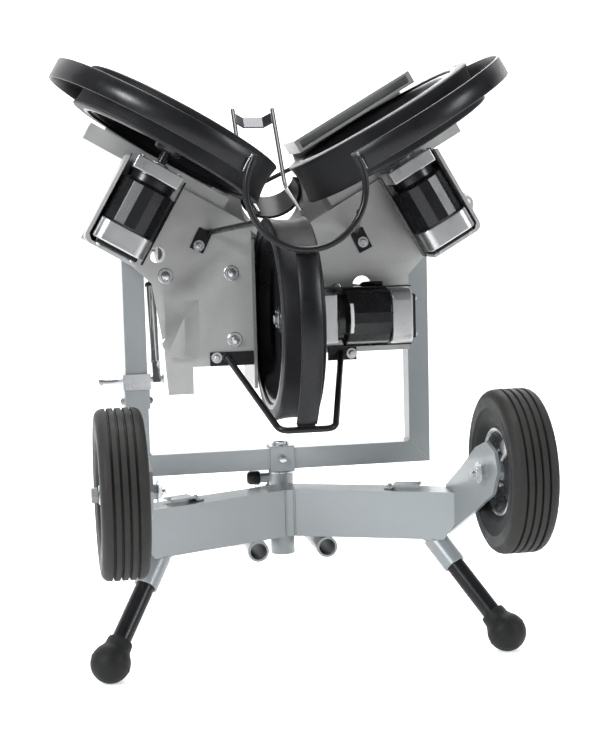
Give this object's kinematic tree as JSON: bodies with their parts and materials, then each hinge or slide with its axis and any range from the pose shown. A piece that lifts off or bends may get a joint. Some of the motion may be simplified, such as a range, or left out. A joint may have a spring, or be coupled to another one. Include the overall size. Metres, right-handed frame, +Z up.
{
  "type": "baseball pitching machine",
  "caption": "Wheeled pitching machine: motor-driven throwing wheels round one ball path, on a head that tilts in a swivelling yoke over a base with telescoping legs.",
  "frame": {"origin": "centre of the bounding box's underside, on the floor", "axes": "+X to the right seen from where the ball comes out, +Z up, -Y is the way the ball is thrown"},
  "size_m": [0.6732, 1.0438, 0.873],
  "materials": {
    "frame_paint": "satin",
    "casting": "satin",
    "zinc": "satin",
    "chrome": "gloss",
    "rim_steel": "satin",
    "hub_metal": "satin",
    "guard_enamel": "gloss",
    "leg_enamel": "gloss",
    "motor_enamel": "gloss",
    "urethane": "satin",
    "foot_rubber": "matt",
    "lead_rubber": "matt",
    "tyre": "matt",
    "plastic": "matt"
  },
  "bodies": {
    "base": {"swivel_post": "frame_paint", "base_arm_left": "frame_paint", "axle_plate_left": "frame_paint", "leg_socket_left": "frame_paint", "handle_socket_left": "frame_paint", "base_arm_right": "frame_paint", "axle_plate_right": "frame_paint", "leg_socket_right": "frame_paint", "handle_socket_right": "frame_paint", "leg_socket_rear": "frame_paint"},
    "leg_left": {"leg_tube_left": "leg_enamel", "leg_foot_left": "foot_rubber"},
    "leg_right": {"leg_tube_right": "leg_enamel", "leg_foot_right": "foot_rubber"},
    "leg_rear": {"leg_tube_rear": "leg_enamel", "leg_foot_rear": "foot_rubber"},
    "latch_left": {"leg_latch_left": "frame_paint"},
    "transport_wheel_left": {"transport_tyre_left": "tyre", "transport_rim_left": "rim_steel"},
    "latch_right": {"leg_latch_right": "frame_paint"},
    "transport_wheel_right": {"transport_tyre_right": "tyre", "transport_rim_right": "rim_steel"},
    "swivel_lock": {"swivel_lock_lever": "plastic"},
    "yoke": {"yoke_crossbar": "frame_paint", "yoke_upright_left": "frame_paint", "yoke_upright_right": "frame_paint", "yoke_saddle": "frame_paint", "swivel_spindle": "zinc", "tilt_collar": "zinc"},
    "tilt_pin": {"tilt_lock_pin": "zinc"},
    "tilt_clamp": {"tilt_clamp_knob": "casting"},
    "strut_barrel": {"strut_cylinder": "chrome"},
    "strut_shaft": {"strut_rod": "chrome"},
    "head": {"head_casting": "casting", "left_panel": "casting", "right_panel": "casting", "feed_tube": "plastic", "ball_chute": "chrome", "guard_band_lower": "guard_enamel", "guard_band_left": "guard_enamel", "guard_band_right": "guard_enamel", "guard_hoop": "guard_enamel", "lower_guard_rod": "guard_enamel", "motor_lower": "motor_enamel", "motor_left": "motor_enamel", "motor_right": "motor_enamel", "motor_lead_lower": "lead_rubber", "motor_lead_left": "lead_rubber", "motor_lead_right": "lead_rubber", "control_box": "guard_enamel"},
    "throwing_wheel_lower": {"throwing_tyre_lower": "urethane", "throwing_hub_lower": "hub_metal"},
    "speed_dial_lower": {"speed_knob_lower": "plastic"},
    "throwing_wheel_left": {"throwing_tyre_left": "urethane", "throwing_hub_left": "hub_metal"},
    "speed_dial_left": {"speed_knob_left": "plastic"},
    "throwing_wheel_right": {"throwing_tyre_right": "urethane", "throwing_hub_right": "hub_metal"},
    "speed_dial_right": {"speed_knob_right": "plastic"},
    "switch": {"power_switch": "plastic"}
  },
  "joints": [
    {"name": "yoke_swivel", "type": "hinge", "parent": "base", "child": "yoke", "pos_m": [0, -0.0816, 0.264], "axis": [0, 0, 1], "range_deg": [-45, 45]},
    {"name": "head_tilt", "type": "hinge", "parent": "yoke", "child": "head", "pos_m": [0, -0.0816, 0.65], "axis": [1, 0, 0], "range_deg": [-12, 12]},
    {"name": "strut_swing", "type": "hinge", "parent": "yoke", "child": "strut_barrel", "pos_m": [-0.19, -0.0816, 0.397], "axis": [1, 0, 0], "range_deg": [-3, 3]},
    {"name": "strut_extend", "type": "slide", "parent": "strut_barrel", "child": "strut_shaft", "axis": [0, 0.3631, 0.9317], "range_m": [-0.021, 0.021]},
    {"name": "tilt_pin_pull", "type": "slide", "parent": "yoke", "child": "tilt_pin", "axis": [-1, 0, 0], "range_m": [0, 0.012], "stiffness_N_per_m": 800, "springref_m": -0.004},
    {"name": "tilt_clamp_turn", "type": "hinge", "parent": "yoke", "child": "tilt_clamp", "pos_m": [0.238, -0.0816, 0.65], "axis": [1, 0, 0], "range_deg": [-90, 0]},
    {"name": "swivel_lock_turn", "type": "hinge", "parent": "base", "child": "swivel_lock", "pos_m": [0, -0.0816, 0.2315], "axis": [-0.9701, 0.2425, 0], "range_deg": [0, 60]},
    {"name": "leg_left_extend", "type": "slide", "parent": "base", "child": "leg_left", "axis": [-0.4574, -0.5411, -0.7057], "range_m": [-0.012, 0.03]},
    {"name": "leg_right_extend", "type": "slide", "parent": "base", "child": "leg_right", "axis": [0.4574, -0.5411, -0.7057], "range_m": [-0.012, 0.03]},
    {"name": "leg_rear_extend", "type": "slide", "parent": "base", "child": "leg_rear", "axis": [0, 0.9481, -0.3179], "range_m": [-0.02, 0.06]},
    {"name": "transport_wheel_left_spin", "type": "hinge", "parent": "base", "child": "transport_wheel_left", "pos_m": [-0.2706, -0.4076, 0.283], "axis": [1, 0, 0], "continuous": true},
    {"name": "leg_latch_left_lift", "type": "hinge", "parent": "base", "child": "latch_left", "pos_m": [-0.142, -0.19083, 0.2265], "axis": [-0.3973, 0.9177, 0], "range_deg": [0, 12], "stiffness_Nm_per_rad": 0.8},
    {"name": "transport_wheel_right_spin", "type": "hinge", "parent": "base", "child": "transport_wheel_right", "pos_m": [0.2706, -0.4076, 0.283], "axis": [1, 0, 0], "continuous": true},
    {"name": "leg_latch_right_lift", "type": "hinge", "parent": "base", "child": "latch_right", "pos_m": [0.142, -0.19083, 0.2265], "axis": [-0.3973, -0.9177, 0], "range_deg": [0, 12], "stiffness_Nm_per_rad": 0.8},
    {"name": "throwing_wheel_lower_spin", "type": "hinge", "parent": "head", "child": "throwing_wheel_lower", "pos_m": [0, -0.1736, 0.488], "axis": [1, 0, 0], "continuous": true},
    {"name": "throwing_wheel_left_spin", "type": "hinge", "parent": "head", "child": "throwing_wheel_left", "pos_m": [-0.15762, -0.1736, 0.761], "axis": [0.5, 0, 0.866], "continuous": true},
    {"name": "throwing_wheel_right_spin", "type": "hinge", "parent": "head", "child": "throwing_wheel_right", "pos_m": [0.15762, -0.1736, 0.761], "axis": [-0.5, 0, 0.866], "continuous": true},
    {"name": "speed_dial_left_turn", "type": "hinge", "parent": "head", "child": "speed_dial_left", "pos_m": [0.052, 0.0524, 0.566], "axis": [0, 1, 0], "range_deg": [0, 270]},
    {"name": "speed_dial_lower_turn", "type": "hinge", "parent": "head", "child": "speed_dial_lower", "pos_m": [0, 0.0524, 0.566], "axis": [0, 1, 0], "range_deg": [0, 270]},
    {"name": "speed_dial_right_turn", "type": "hinge", "parent": "head", "child": "speed_dial_right", "pos_m": [-0.052, 0.0524, 0.566], "axis": [0, 1, 0], "range_deg": [0, 270]},
    {"name": "switch_rock", "type": "hinge", "parent": "head", "child": "switch", "pos_m": [0.04, 0.0524, 0.508], "axis": [1, 0, 0], "range_deg": [-14, 0]}
  ],
  "couplings": [
    {"joint": "strut_swing", "follows": "head_tilt", "ratio": -0.1263},
    {"joint": "strut_extend", "follows": "head_tilt", "m_per_rad": 0.09187}
  ]
}
